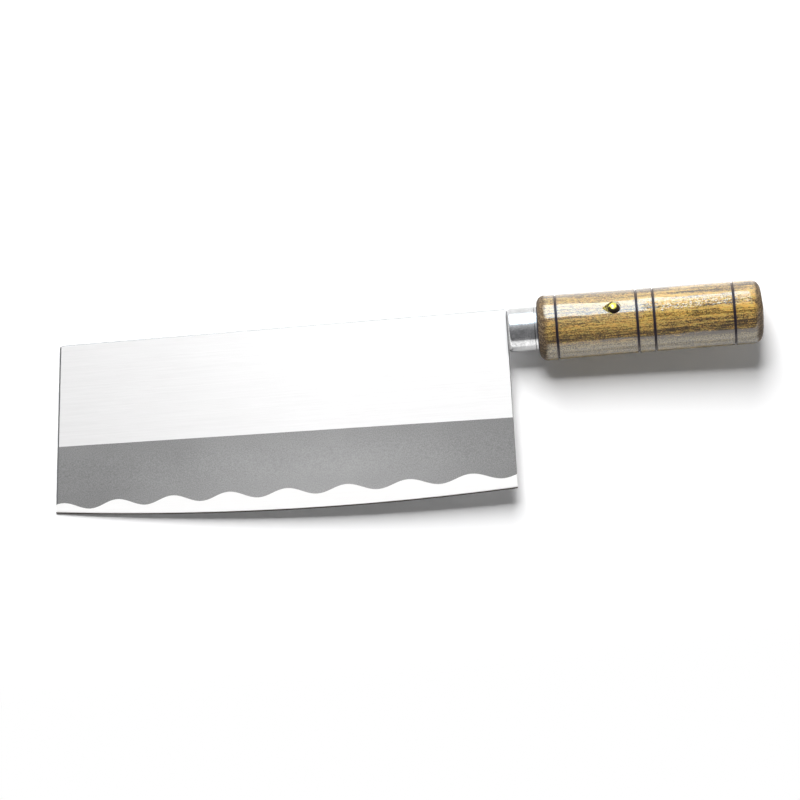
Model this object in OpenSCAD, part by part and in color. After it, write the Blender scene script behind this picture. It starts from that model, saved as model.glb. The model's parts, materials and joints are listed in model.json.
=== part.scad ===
// Vegetable cleaver, lying flat on a table in the pose in which it rests by itself.
// A three-layer steel blade, a drawn metal ferrule and a round turned wooden handle,
// held together by a bedded tang and one rivet.
//
// Each piece is worked out in the knife's own frame: X runs along the handle's axis
// towards the butt, Y towards the spine and Z square to the blade. Its origin is on the
// handle's axis, where the heel of the blade meets the ferrule. lay_down() then tips the
// whole knife onto the table, so that the tip and the front of the handle touch it.

/* [Blade] */
// Thickness of the blade above its ground bevels
blade_t = 2.1; // [1.6:0.1:3]
// Length of the spine, from the ferrule to the tip
spine_len = 214.9; // [160:0.1:260]
// How much further the edge reaches than the spine does
tip_lean = 8.1; // [0:0.1:16]
// How far the lower corner of the heel lies ahead of the ferrule
heel_lean = 1; // [0.2:0.1:6]
// Height of the blade at the heel
heel_h = 85.4; // [66:0.2:110]
// How far the edge rises from heel to tip
edge_rise = 4.4; // [0:0.1:12]
// How far the spine falls from heel to tip
spine_drop = 0.9; // [0:0.1:6]
// How far the edge curves out below the straight line between its corners
belly = 4.4; // [1:0.1:9]
// Radius of the corner between spine and tip
tip_corner_r = 1.7; // [0.5:0.1:6]
// Radius of the corner between spine and heel
heel_corner_r = 1.2; // [0.5:0.1:4]
// Bevel that eases the sharp corners of spine, tip and heel
ease = 0.25; // [0.05:0.05:0.5]

/* [Grind] */
// Height of the ground bevel above the edge, at the heel
grind_heel_h = 33.8; // [20:0.1:48]
// Height of the ground bevel above the edge, at the tip
grind_tip_h = 31.8; // [20:0.1:46]
// Thickness left behind the honed edge at the belly
land_t = 0.5; // [0.3:0.05:0.8]
// Thickness of the cutting edge itself
edge_t = 0.1; // [0.05:0.01:0.2]
// Angle of the honed edge on each side, in degrees
hone_angle = 15; // [10:1:22]

/* [Layers] */
// Thickness of the hard middle layer
core_t = 0.7; // [0.5:0.05:1]
// Mean height of the bare strip of hard steel above the edge, where it is broadest
strip_h = 8.8; // [6:0.1:12]
// The same height at the heel
strip_heel_h = 7.1; // [3:0.1:12]
// The same height at the tip
strip_tip_h = 2.9; // [2.6:0.1:9]
// How far its upper limit waves up and down
wave_amp = 1.8; // [0.5:0.1:2.2]
// Length of one wave
wave_pitch = 28.3; // [16:0.1:40]
// Distance from the heel to the first crest
wave_start = 21.1; // [0:0.1:28]
// How far the crests in the middle lie towards the tip, out of step with the rest
wave_wander = 5.1; // [0:0.1:7]

/* [Tang] */
// Thickness of the tang
tang_t = 1.9; // [1.4:0.1:2.6]
// Width of the tang at the heel
tang_w = 13; // [9:0.5:15]
// Width of the tang at its far end
tang_end_w = 8; // [5:0.5:9]
// How far the tang runs on behind the rivet
tang_past_rivet = 25.3; // [12:0.1:40]
// Bedding between the tang and the wood, on each side
bed_t = 0.5; // [0.3:0.05:0.8]

/* [Ferrule] */
// Outer diameter of the ferrule; the spine is level with it
ferrule_d = 20.7; // [19:0.1:25]
// Length of the ferrule
ferrule_len = 14.3; // [10:0.1:24]
// Wall of the ferrule
ferrule_wall = 0.8; // [0.5:0.1:1.2]
// Radius round the ferrule's front rim
ferrule_rim_r = 1.6; // [1:0.1:3]
// Width of the raised band at the ferrule's rear
band_w = 1.2; // [0.6:0.1:2]
// Depth and width of the fine line that sets the band off
band_line = 0.25; // [0.1:0.05:0.35]
// Clearance round the tang in the ferrule's slot
slot_gap = 0.2; // [0.1:0.05:0.4]

/* [Handle] */
// Length of the wood behind the ferrule
wood_len = 107; // [90:0.5:130]
// Diameter of the handle at its front shoulder
front_d = 31.1; // [28:0.1:36]
// Diameter of the straight rear part
rear_d = 30.3; // [27:0.1:36]
// Radius of the front shoulder
shoulder_r = 4.2; // [2:0.1:4.6]
// Radius of the rear corner
butt_r = 5; // [2:0.1:7]
// How far the rear face bulges
crown = 0.8; // [0.3:0.1:2]
// Distance from the wood's front face to the first groove
groove_front = 9.1; // [7:0.1:14]
// Distance from the wood's front face to the pair of grooves, where the taper ends
groove_pair = 47.2; // [44:0.1:54]
// Distance between the two grooves of the pair
pair_gap = 8; // [4:0.1:12]
// Distance from the last groove to the butt
groove_rear = 14.1; // [10:0.1:20]
// Width of a burned groove
groove_w = 0.9; // [0.5:0.1:1.5]
// Depth of a burned groove
groove_d = 0.6; // [0.3:0.1:1]

/* [Rivet] */
// Distance from the wood's front face to the rivet
rivet_at = 36.4; // [32:0.1:39]
// How far round the handle the head lies from the blade's normal, in degrees
rivet_turn = 26.5; // [0:0.5:40]
// Diameter of the shank
shank_d = 3.4; // [2.5:0.1:4]
// Diameter of the domed head
head_d = 5.5; // [4.6:0.1:7]
// Height of the dome
dome_h = 1.1; // [0.8:0.1:1.6]
// Height of the rim under the dome
rim_h = 0.5; // [0.3:0.1:0.8]
// Diameter of the hammered tail
tail_d = 4.9; // [4.3:0.1:6]
// Height of the hammered tail
tail_h = 0.7; // [0.5:0.1:1]
// Depth of the seats for head and tail below the wood's surface
seat_depth = 0.6; // [0.4:0.1:1]
// Clearance round head and tail in their seats
seat_gap = 0.3; // [0.1:0.1:0.6]

/* [Fits] */
// Clearance between pieces pushed into each other
fit_gap = 0.05; // [0.02:0.01:0.1]

/* [Hidden] */

// How far a cutting shape runs past what it cuts
over = 1;

// Facets of small round shapes, and of the large arc that grinds the edge
round_fn = 96;
edge_fn = 720;
// Segments of a rounded corner in an outline, and of one wave
corner_steps = 8;
wave_steps = 16;

// Where along the blade the bare strip is broadest, and how sharply it narrows either way
broadest_share = 0.4;
heel_power = 2;
tip_power = 2.4;

// Corners of the blade's outline
ferrule_r = ferrule_d / 2;
spine_heel = [0, ferrule_r];
spine_tip = [-spine_len, ferrule_r - spine_drop];
edge_tip = [-spine_len - tip_lean, ferrule_r - heel_h + edge_rise];
edge_heel = [-heel_lean, ferrule_r - heel_h];
tip_h = heel_h - spine_drop - edge_rise;

// The edge is one arc through its two corners
chord = norm(edge_heel - edge_tip);
edge_r = chord * chord / (8 * belly) + belly / 2;
chord_dir = (edge_heel - edge_tip) / chord;
edge_mid = (edge_heel + edge_tip) / 2;
edge_centre = edge_mid + left_of(chord_dir) * (edge_r - belly);
edge_low = edge_centre.y - edge_r;

// The line where the flat ends and the ground bevel begins
grind_tip = along(edge_tip, spine_tip, grind_tip_h / tip_h);
grind_heel = along(edge_heel, spine_heel, grind_heel_h / heel_h);
grind_dir = (grind_heel - grind_tip) / norm(grind_heel - grind_tip);
grind_angle = atan2(grind_dir.y, grind_dir.x);
grind_reach = edge_r - left_of(grind_dir) * (edge_centre - grind_tip);
grind_slope = (blade_t - land_t) / 2 / grind_reach;

// Reaches past the whole blade, from any of its sides
blade_span = spine_len + heel_h;

// Stations of the handle, from the heel
wood_x = ferrule_len;
butt_x = wood_x + wood_len;
front_r = front_d / 2;
rear_r = rear_d / 2;
pair_x = wood_x + groove_pair;
groove_xs = [wood_x + groove_front, pair_x, pair_x + pair_gap, butt_x - groove_rear];
rivet_x = wood_x + rivet_at;
rivet_r = handle_r(rivet_x);
seat_r = rivet_r - seat_depth;

// The wood's neck inside the ferrule, and the slot in it that takes the tang
neck_x = ferrule_wall + fit_gap;
neck_r = ferrule_r - ferrule_wall - fit_gap;
slot_w = tang_w + 2 * bed_t;
slot_t = tang_t + 2 * bed_t;
shank_r = shank_d / 2;
bore_r = shank_r + fit_gap;

// Ends of the tang and of its slot
tang_len = rivet_x + tang_past_rivet;
slot_end = tang_len + bed_t;

// The pose on the table: a line from the tip's lowest point that just touches the
// handle's front shoulder from below
tip_foot = [grind_tip.x, -blade_t / 2];
shoulder_centre = [wood_x + shoulder_r, shoulder_r - front_r];
foot_to_shoulder = shoulder_centre - tip_foot;
tilt = -atan2(foot_to_shoulder.y, foot_to_shoulder.x)
    + asin(shoulder_r / norm(foot_to_shoulder));
lift = -tip_foot.x * sin(tilt) - tip_foot.y * cos(tilt);
middle = [(butt_x + edge_tip.x) / 2 * cos(tilt), (front_r + edge_low) / 2];

// The direction to the left of a direction
function left_of(d) = [-d.y, d.x];

// The point a share of the way from one point to another
function along(a, b, share) = a + (b - a) * share;

// A direction turned by an angle
function turned(v, angle) = [v.x * cos(angle) - v.y * sin(angle), v.x * sin(angle) + v.y * cos(angle)];

// Points round the corner p of an outline that runs from a to b with its inside on the left
function rounded(a, p, b, r) =
    let (to_a = (a - p) / norm(a - p))
    let (to_b = (b - p) / norm(b - p))
    let (half = acos(to_a * to_b) / 2)
    let (centre = p + (to_a + to_b) / norm(to_a + to_b) * r / sin(half))
    let (first = p + to_a * r / tan(half) - centre)
    [for (i = [0:corner_steps]) centre + turned(first, (180 - 2 * half) * i / corner_steps)];

// Points on an arc of radius r round a centre, between two angles
function arc(centre, r, from, to) =
    [for (i = [0:corner_steps])
        let (angle = from + (to - from) * i / corner_steps)
        centre + r * [cos(angle), sin(angle)]];

// Height of the edge at a distance along the blade
function edge_y(x) = edge_centre.y - sqrt(edge_r * edge_r - pow(x - edge_centre.x, 2));

// Upper limit of the bare strip of hard steel at a distance along the blade
function wave_y(x) =
    let (share = x / edge_tip.x)
    let (waves = (-x - wave_start - wave_wander * sin(180 * share)) / wave_pitch)
    let (to_heel = max(0, 1 - share / broadest_share))
    let (to_tip = max(0, (share - broadest_share) / (1 - broadest_share)))
    let (height = strip_h
        - (strip_h - strip_heel_h) * pow(to_heel, heel_power)
        - (strip_h - strip_tip_h) * pow(to_tip, tip_power))
    edge_y(x) + height + wave_amp * cos(360 * waves);

// Radius of the handle at a distance behind the heel: a taper, then a straight cylinder
function handle_r(x) =
    x > pair_x ? rear_r : rear_r + (front_r - rear_r) * (pair_x - x) / (groove_pair - shoulder_r);

// Half of the section of one burned groove, as points of radius and station
function groove_points(x) =
    [[handle_r(x - groove_w / 2), x - groove_w / 2],
     [handle_r(x) - groove_d, x - groove_w / 5],
     [handle_r(x) - groove_d, x + groove_w / 5],
     [handle_r(x + groove_w / 2), x + groove_w / 2]];

// Turns the knife's own frame into the lying pose, centred over the origin
module lay_down() {
    translate([-middle.x, -middle.y, lift])
        rotate([0, -tilt, 0])
            children();
}

// Revolves a section of points [radius, station] round the handle's axis
module turned_piece(points) {
    rotate([0, 90, 0])
        rotate_extrude($fn = round_fn)
            polygon(points);
}

// A prism along the side from p to q of an outline, with section points [inwards, up]
module along_side(p, q, points) {
    side = q - p;
    translate([p.x, p.y, 0])
        rotate([0, 0, atan2(side.y, side.x)])
            rotate([90, 0, 90])
                translate([0, 0, -blade_span])
                    linear_extrude(height = 3 * blade_span)
                        polygon(points);
}

// Keeps what is inside two sloping planes that ease the corners of one side
module eased_side(p, q) {
    straight = blade_t / 2 - ease;
    start = straight / 2;
    along_side(p, q, [
        [-start, -(straight - start)],
        [blade_span, -(straight + blade_span)],
        [blade_span, straight + blade_span],
        [-start, straight - start]]);
}

// Keeps what is inside the two ground bevels, which meet the flats at the grind line
module ground_wedge() {
    below = grind_reach + over;
    low_half = blade_t / 2 - grind_slope * below;
    high_half = blade_t / 2 + grind_slope * blade_span;
    along_side(grind_tip, grind_heel, [
        [-below, -low_half],
        [blade_span, -high_half],
        [blade_span, high_half],
        [-below, low_half]]);
}

// Keeps what is inside the arc of the edge, with its honed bevels
module honed_disc() {
    honed = (blade_t - edge_t / 2) / tan(hone_angle);
    translate([edge_centre.x, edge_centre.y, 0])
        rotate_extrude($fn = edge_fn)
            polygon([
                [0, -blade_t],
                [edge_r - honed, -blade_t],
                [edge_r, -edge_t / 2],
                [edge_r, edge_t / 2],
                [edge_r - honed, blade_t],
                [0, blade_t]]);
}

// The blade without its tang, through all three layers
module plate() {
    tip_below = along(spine_tip, edge_tip, (tip_h + belly) / tip_h);
    heel_below = along(spine_heel, edge_heel, (heel_h + belly) / heel_h);
    intersection() {
        linear_extrude(height = blade_t, center = true)
            polygon(concat(
                rounded(heel_below, spine_heel, spine_tip, heel_corner_r),
                rounded(spine_heel, spine_tip, tip_below, tip_corner_r),
                [tip_below, heel_below]));
        eased_side(spine_heel, spine_tip);
        eased_side(spine_tip, edge_tip);
        eased_side(edge_heel, spine_heel);
        ground_wedge();
        honed_disc();
    }
}

// The flat tang, rooted in the blade
module tang() {
    linear_extrude(height = tang_t, center = true)
        polygon([
            [-tang_w, -tang_w / 2],
            [0, -tang_w / 2],
            [tang_len, -tang_end_w / 2],
            [tang_len, tang_end_w / 2],
            [0, tang_w / 2],
            [-tang_w, tang_w / 2]]);
}

// Puts what follows on the rivet's own axis, with its head upwards
module on_rivet_axis() {
    translate([rivet_x, 0, 0])
        rotate([-rivet_turn, 0, 0])
            children();
}

// The hole that the rivet's shank goes through
module rivet_bore() {
    on_rivet_axis()
        cylinder(h = 2 * front_r + 2 * over, r = bore_r, center = true, $fn = round_fn);
}

// Blade and tang in one, before the layers are told apart
module clad_sheet() {
    difference() {
        union() {
            plate();
            tang();
        }
        rivet_bore();
    }
}

// The space of one outer layer: beyond the core, and above the waved line
module layer_space(side) {
    steps = ceil(-edge_tip.x / wave_pitch * wave_steps);
    wave = [for (i = [0:steps])
        let (x = (edge_tip.x - over) * (1 - i / steps))
        [x, wave_y(x)]];
    translate([0, 0, side > 0 ? core_t / 2 : -blade_t])
        linear_extrude(height = blade_t - core_t / 2)
            polygon(concat(
                wave,
                [[tang_len + over, wave_y(0)],
                 [tang_len + over, ferrule_r + over],
                 [edge_tip.x - over, ferrule_r + over]]));
}

// Hard middle layer, bare along the edge and hidden elsewhere, with the heart of the tang
module blade_core() {
    color([0.93, 0.93, 0.91])
        lay_down()
            difference() {
                clad_sheet();
                layer_space(1);
                layer_space(-1);
            }
}

// One soft outer layer, with its share of the tang
module cladding(side) {
    color([0.8, 0.81, 0.82])
        lay_down()
            intersection() {
                clad_sheet();
                layer_space(side);
            }
}

// Soft layer of the face that is uppermost
module cladding_front() {
    cladding(1);
}

// Soft layer of the face that lies on the table
module cladding_back() {
    cladding(-1);
}

// Drawn metal cup over the neck of the wood, slotted at the front for the tang
module ferrule() {
    line_x = ferrule_len - band_w;
    inner_r = ferrule_r - ferrule_wall;
    color([0.82, 0.82, 0.83])
        lay_down()
            difference() {
                turned_piece(concat(
                    [[0, 0]],
                    arc([ferrule_r - ferrule_rim_r, ferrule_rim_r], ferrule_rim_r, -90, 0),
                    [[ferrule_r, line_x - band_line],
                     [ferrule_r - band_line, line_x - band_line / 2],
                     [ferrule_r, line_x],
                     [ferrule_r, ferrule_len],
                     [inner_r, ferrule_len],
                     [inner_r, ferrule_wall],
                     [0, ferrule_wall]]));
                translate([-over, -tang_w / 2 - slot_gap, -tang_t / 2 - slot_gap])
                    cube([ferrule_wall + 2 * over, tang_w + 2 * slot_gap, tang_t + 2 * slot_gap]);
            }
}

// The turned outside of the wood, from its neck to the butt
module turned_wood() {
    corner_x = butt_x - crown - butt_r;
    face_r = rear_r - butt_r;
    turned_piece(concat(
        [[0, neck_x],
         [neck_r, neck_x],
         [neck_r, wood_x]],
        arc([front_r - shoulder_r, wood_x + shoulder_r], shoulder_r, -90, 0),
        groove_points(groove_xs[0]),
        groove_points(groove_xs[1]),
        groove_points(groove_xs[2]),
        groove_points(groove_xs[3]),
        arc([face_r, corner_x], butt_r, 0, 90),
        [for (i = [corner_steps - 1:-1:0])
            let (r = face_r * i / corner_steps)
            [r, butt_x - crown * pow(r / face_r, 2)]]));
}

// Wooden handle with its tang slot, the rivet's bore and the seats for head and tail
module handle() {
    color([0.64, 0.51, 0.31])
        lay_down()
            difference() {
                turned_wood();
                translate([neck_x - over, -slot_w / 2, -slot_t / 2])
                    cube([slot_end - neck_x + over, slot_w, slot_t]);
                rivet_bore();
                on_rivet_axis()
                    translate([0, 0, seat_r])
                        cylinder(h = seat_depth + over, d = head_d + 2 * seat_gap, $fn = round_fn);
                on_rivet_axis()
                    translate([0, 0, -seat_r - seat_depth - over])
                        cylinder(h = seat_depth + over, d = tail_d + 2 * seat_gap, $fn = round_fn);
            }
}

// A cap of a sphere on a short straight rim, both of diameter d, standing on z = 0
module domed_head(d, cap, rim) {
    ball_r = (d * d / 4 + cap * cap) / (2 * cap);
    intersection() {
        cylinder(h = rim + cap + over, d = d, $fn = round_fn);
        translate([0, 0, rim + cap - ball_r])
            sphere(r = ball_r, $fn = round_fn);
    }
}

// Brass rivet right through wood and tang, domed in front and hammered over behind
module rivet() {
    color([0.8, 0.66, 0.34])
        lay_down()
            on_rivet_axis()
                union() {
                    cylinder(h = 2 * seat_r + 2 * rim_h, r = shank_r, center = true, $fn = round_fn);
                    translate([0, 0, seat_r])
                        domed_head(head_d, dome_h, rim_h);
                    rotate([180, 0, 0])
                        translate([0, 0, seat_r])
                            domed_head(tail_d, tail_h, rim_h);
                }
}

// Resin that fills the slot of the wood round the tang
module tang_bedding() {
    color([0.24, 0.19, 0.13])
        lay_down()
            difference() {
                translate([neck_x, -slot_w / 2, -slot_t / 2])
                    cube([slot_end - neck_x, slot_w, slot_t]);
                tang();
                rivet_bore();
            }
}

blade_core();
cladding_front();
cladding_back();
ferrule();
handle();
rivet();
tang_bedding();
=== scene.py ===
# %% [markdown]
# A vegetable cleaver, dressed for its photograph
#
# The cleaver lies flat on a white table. Its construction comes from CAD as a fixed frame: the blade's
# three layers of steel, the ferrule, the turned wooden handle, the brass rivet and the bedding round
# the tang. This lesson gives them their looks. The blade's layers and the bedding keep their CAD shape
# and get a finish. The round pieces are made again as fine surfaces, because a polished or lacquered
# round piece shows every facet in its highlight.

# %% Load the frame
import json
import math

import bpy
import numpy as np
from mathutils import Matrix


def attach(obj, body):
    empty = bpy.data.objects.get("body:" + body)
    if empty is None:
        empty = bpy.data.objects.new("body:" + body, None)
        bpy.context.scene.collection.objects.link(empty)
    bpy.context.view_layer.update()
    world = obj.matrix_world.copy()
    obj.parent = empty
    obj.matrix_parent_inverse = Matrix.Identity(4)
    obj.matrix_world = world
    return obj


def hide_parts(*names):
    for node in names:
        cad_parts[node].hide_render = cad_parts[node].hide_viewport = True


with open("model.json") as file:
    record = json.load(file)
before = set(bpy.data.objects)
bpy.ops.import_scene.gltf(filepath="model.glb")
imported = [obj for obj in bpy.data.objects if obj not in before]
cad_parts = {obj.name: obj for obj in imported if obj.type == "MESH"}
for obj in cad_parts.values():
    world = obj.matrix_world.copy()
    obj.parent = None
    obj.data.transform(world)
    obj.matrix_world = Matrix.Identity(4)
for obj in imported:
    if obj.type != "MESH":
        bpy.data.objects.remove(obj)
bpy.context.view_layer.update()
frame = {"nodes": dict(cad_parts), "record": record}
print("CAD nodes:", ", ".join(sorted(frame["nodes"])))

# %% [markdown]
# The knife rests on the blade's tip and on the front of the handle, so the whole knife is tipped a few
# degrees, and the table's axes fit none of its pieces. A carpenter would measure from the handle's own
# axis, and so does this lesson: x runs along the axis towards the butt, y towards the spine and z
# square to the blade, all from the heel. The place and the tilt of that axis come from the mount on
# the handle's straight part, which the CAD record holds. The middle of that mount lies halfway between
# the second groove of the pair and the last groove.

# %% The knife's own frame
MM = 0.001
FERRULE_LENGTH = 14.3 * MM
WOOD_LENGTH = 107 * MM
FRONT_GROOVE = 23.4 * MM
PAIR_START = 61.5 * MM
PAIR_END = 69.5 * MM
REAR_GROOVE = 107.2 * MM
GROOVES = [FRONT_GROOVE, PAIR_START, PAIR_END, REAR_GROOVE]

mounts = {mount["name"]: mount for mount in frame["record"]["mounts"]}
grip = mounts["handle_grip"]
grip_x = (PAIR_END + REAR_GROOVE) / 2
along_axis = np.array(grip["axis"])
heel = np.array(grip["pos_m"]) - grip_x * along_axis
tilt = math.atan2(along_axis[2], along_axis[0])


def lay_down(points):
    """Turns points by the tilt about y and moves their origin from the heel to its place in the frame."""
    x, y, z = np.moveaxis(np.asarray(points, float), -1, 0)
    turned_x = x * math.cos(tilt) - z * math.sin(tilt)
    turned_z = x * math.sin(tilt) + z * math.cos(tilt)
    return np.stack([turned_x, y, turned_z], axis=-1) + heel


print(f"tilt {math.degrees(tilt):.2f} degrees, heel at {np.round(heel / MM, 2)} mm")

# %% [markdown]
# A lathe spins the work while a tool follows a profile. A surface of revolution does the same on a
# grid: one parameter runs along the profile and the other round the axis. A profile that starts and
# ends on the axis closes with one fan of triangles at each end, so that the mesh is a closed solid.

# %% A closed surface through rings
SHARP_ANGLE = math.radians(40)


def closed_surface(name, rings, start, end):
    """A mesh through rings of points, each ring closed on itself, with a fan to the points start and end.

    rings is an array of ring, place on the ring and x, y, z. Faces point outwards when the rings run
    along the axis and each ring turns from y towards z.
    """
    count, around = rings.shape[:2]
    points = np.concatenate([rings.reshape(-1, 3), [start, end]])
    ring, place = np.meshgrid(np.arange(count - 1), np.arange(around), indexing="ij")
    after = (place + 1) % around
    quads = np.stack([ring, ring, ring + 1, ring + 1]) * around + np.stack([place, after, after, place])
    rim = np.arange(around)
    rim_after = (rim + 1) % around
    last = (count - 1) * around
    start_fan = np.stack([np.full(around, count * around), rim_after, rim], axis=1)
    end_fan = np.stack([np.full(around, count * around + 1), last + rim, last + rim_after], axis=1)
    mesh = bpy.data.meshes.new(name)
    faces = quads.reshape(4, -1).T.tolist() + start_fan.tolist() + end_fan.tolist()
    mesh.from_pydata(points.tolist(), [], faces)
    mesh.shade_smooth()
    mesh.set_sharp_from_angle(angle=SHARP_ANGLE)
    piece = bpy.data.objects.new(name, mesh)
    bpy.context.scene.collection.objects.link(piece)
    print(f"{name}: {len(points)} points, {2 * quads.shape[1] * quads.shape[2]} triangles")
    return piece


# %% [markdown]
# The grid's lines don't have to be evenly spaced. They crowd together where there is a groove or a
# rivet, and spread out where the wood is plain. The round corners of a profile are arcs, and where one
# shape fades into another a smooth step joins them without a kink.

# %% Crowded lines, arcs and smooth steps
def crowded(low, high, step, zones):
    """Numbers from low to high, a step apart, but closer in each zone of place, reach and fine step."""
    coarse = np.arange(low, high, step)
    far = np.all([np.abs(coarse - place) > reach for place, reach, fine_step in zones], axis=0)
    fine = [np.arange(place - reach, place + reach, fine_step) for place, reach, fine_step in zones]
    return np.unique(np.concatenate([coarse[far], *fine, [high]]).clip(low, high))


def bend(centre, radius, first, last, steps=12):
    """Points of an arc in the profile: x and r on a circle round centre, between two angles in degrees."""
    angles = np.radians(np.linspace(first, last, steps + 1))
    return np.stack([centre[0] + radius * np.cos(angles), centre[1] + radius * np.sin(angles)], axis=1)


def smooth_step(value, low, high):
    """0 below low, 1 above high and a smooth S between them: 3t^2 - 2t^3."""
    share = np.clip((value - low) / (high - low), 0, 1)
    return share * share * (3 - 2 * share)


# %% [markdown]
# The handle is one piece of turned wood. It is a little thicker in front, tapers to the pair of
# grooves and runs straight to the butt, with a rounded shoulder, a rounded butt and a face that bulges
# slightly. The turner burned four grooves into it. Two short formulas give its shape along the axis:
# the radius of the body, and how deep the grooves go. The butt stops a fiftieth of a millimetre short,
# so that the dressed piece stays inside the box of the CAD model.

# %% Sizes of the wood
INSIDE_BOX = 0.02 * MM
WOOD_FRONT = FERRULE_LENGTH
BUTT = WOOD_FRONT + WOOD_LENGTH - INSIDE_BOX
FRONT_R = 31.1 / 2 * MM
REAR_R = 30.3 / 2 * MM
SHOULDER_R = 4.2 * MM
BUTT_R = 5 * MM
CROWN = 0.8 * MM
NECK_FRONT = 0.85 * MM
NECK_R = 9.5 * MM
NECK_CHAMFER = 0.3 * MM
GROOVE_WIDTH = 0.9 * MM
GROOVE_DEPTH = 0.6 * MM


def body_radius(x):
    """Radius of the wood: a straight taper from the shoulder to the pair of grooves, then a cylinder."""
    taper_start = WOOD_FRONT + SHOULDER_R
    share = np.clip((PAIR_START - x) / (PAIR_START - taper_start), 0, 1)
    return REAR_R + (FRONT_R - REAR_R) * share


def groove_cut(x):
    """Depth of the burned grooves: each is a round-bottomed notch, 1 - (distance / half width)^4."""
    distance = np.min([np.abs(x - groove) for groove in GROOVES], axis=0) / (GROOVE_WIDTH / 2)
    return GROOVE_DEPTH * np.clip(1 - distance**4, 0, 1)


thick = f"{2 * FRONT_R / MM:.1f} mm thick in front and {2 * REAR_R / MM:.1f} mm behind"
print(f"wood: {WOOD_LENGTH / MM:.0f} mm long, {thick}")

# %% [markdown]
# Three things break the roundness of real turned wood. Hand sanding leaves it slightly uneven, which
# makes the edges of the long highlight wander. The rivet's head and tail are sunk into flat seats. And
# the drill tore out a chip beside the head. All three change the radius by angle and place, so that the
# wood stays one grid. The photograph shows the head about 26 degrees round the handle from the blade's
# normal. The rest of the rivet isn't seen, and is taken to run straight through the axis.

# %% Sanding, seats and the chip
RIVET_X = WOOD_FRONT + 36.4 * MM
RIVET_TURN = math.radians(26.5)
HEAD_ANGLE = math.pi / 2 - RIVET_TURN
HEAD_R = 5.5 / 2 * MM
TAIL_R = 4.9 / 2 * MM
SEAT_GAP = 0.3 * MM
SEAT_DEPTH = 0.6 * MM
SEAT_LIP = 0.12 * MM
SEAT_SHIFT = 0.25 * MM
CHIP_TIP = 5.3 * MM
CHIP_HALF = 2.1 * MM
CHIP_DEPTH = 0.38 * MM
UNEVEN = 0.07 * MM


def unevenness(x, angle):
    """What sanding by hand left, from 0 to UNEVEN: a mean of waves that run along and round the wood."""
    waves = [
        np.sin(2 * math.pi * x / (61 * MM) + 7 * angle + 0.6),
        np.sin(2 * math.pi * x / (19 * MM) - 11 * angle + 2.1),
        np.sin(2 * math.pi * x / (33 * MM) + 17 * angle + 4.0),
        np.sin(2 * math.pi * x / (47 * MM) - 23 * angle + 1.3),
    ]
    return UNEVEN * (1 + np.mean(waves, axis=0)) / 2


def chip(ahead, aside):
    """Depth of the chip: a wedge with its point ahead of the rivet, which widens up to the seat."""
    width = CHIP_HALF * np.clip((CHIP_TIP - ahead) / (CHIP_TIP - HEAD_R), 0, 1)
    rough = 1 + 0.35 * np.sin(aside / (0.3 * MM)) * np.sin(ahead / (0.23 * MM) + 1)
    return CHIP_DEPTH * rough * smooth_step(width - np.abs(aside), 0, 0.35 * MM) * (ahead > 0)


def wood_rings(x, radius, angle):
    """Rings of the worked wood: the turned radius, less unevenness and chip, cut flat at the two seats."""
    x, radius = x[:, None], radius[:, None]
    from_head = angle - HEAD_ANGLE
    facing, aside = radius * np.cos(from_head), radius * np.sin(from_head)
    body = smooth_step(x, WOOD_FRONT + SHOULDER_R / 2, WOOD_FRONT + SHOULDER_R)
    body = body * smooth_step(x, BUTT, BUTT - BUTT_R)
    cut = radius - body * (unevenness(x, angle) + chip(RIVET_X - x, aside) * (facing > 0))
    reach = np.hypot(x - RIVET_X - SEAT_SHIFT, aside + SEAT_SHIFT)
    seat_r = body_radius(np.float64(RIVET_X)) - SEAT_DEPTH
    for side, head in ((1, HEAD_R), (-1, TAIL_R)):
        flat = seat_r / np.maximum(side * np.cos(from_head), 0.5)
        inside = smooth_step(reach, head + SEAT_GAP + SEAT_LIP, head + SEAT_GAP) * (side * facing > 0)
        cut = cut + inside * np.minimum(flat - cut, 0)
    return np.stack(np.broadcast_arrays(x, cut * np.cos(angle), cut * np.sin(angle)), axis=-1)


# %% [markdown]
# Now the wood can be turned. Its profile runs from the neck inside the ferrule over the shoulder and
# along the body to the rounded butt, and ends in the face, a very flat parabola. The grid is finer in
# zones, each with its place, its reach to both sides and its own step: along the axis at the grooves
# and the rivet, and round it at head and tail.

# %% The handle
FACE_RINGS = 14
STATION_STEP = 0.9 * MM
GROOVE_ZONE = 0.6 * MM, 0.06 * MM
RIVET_ZONE = RIVET_X - 1 * MM, 5 * MM, 0.12 * MM
TURN_STEP = math.radians(2.6)
HEAD_ZONE = HEAD_ANGLE, 0.27, 0.008
TAIL_ZONE = HEAD_ANGLE + math.pi, 0.24, 0.008


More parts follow.
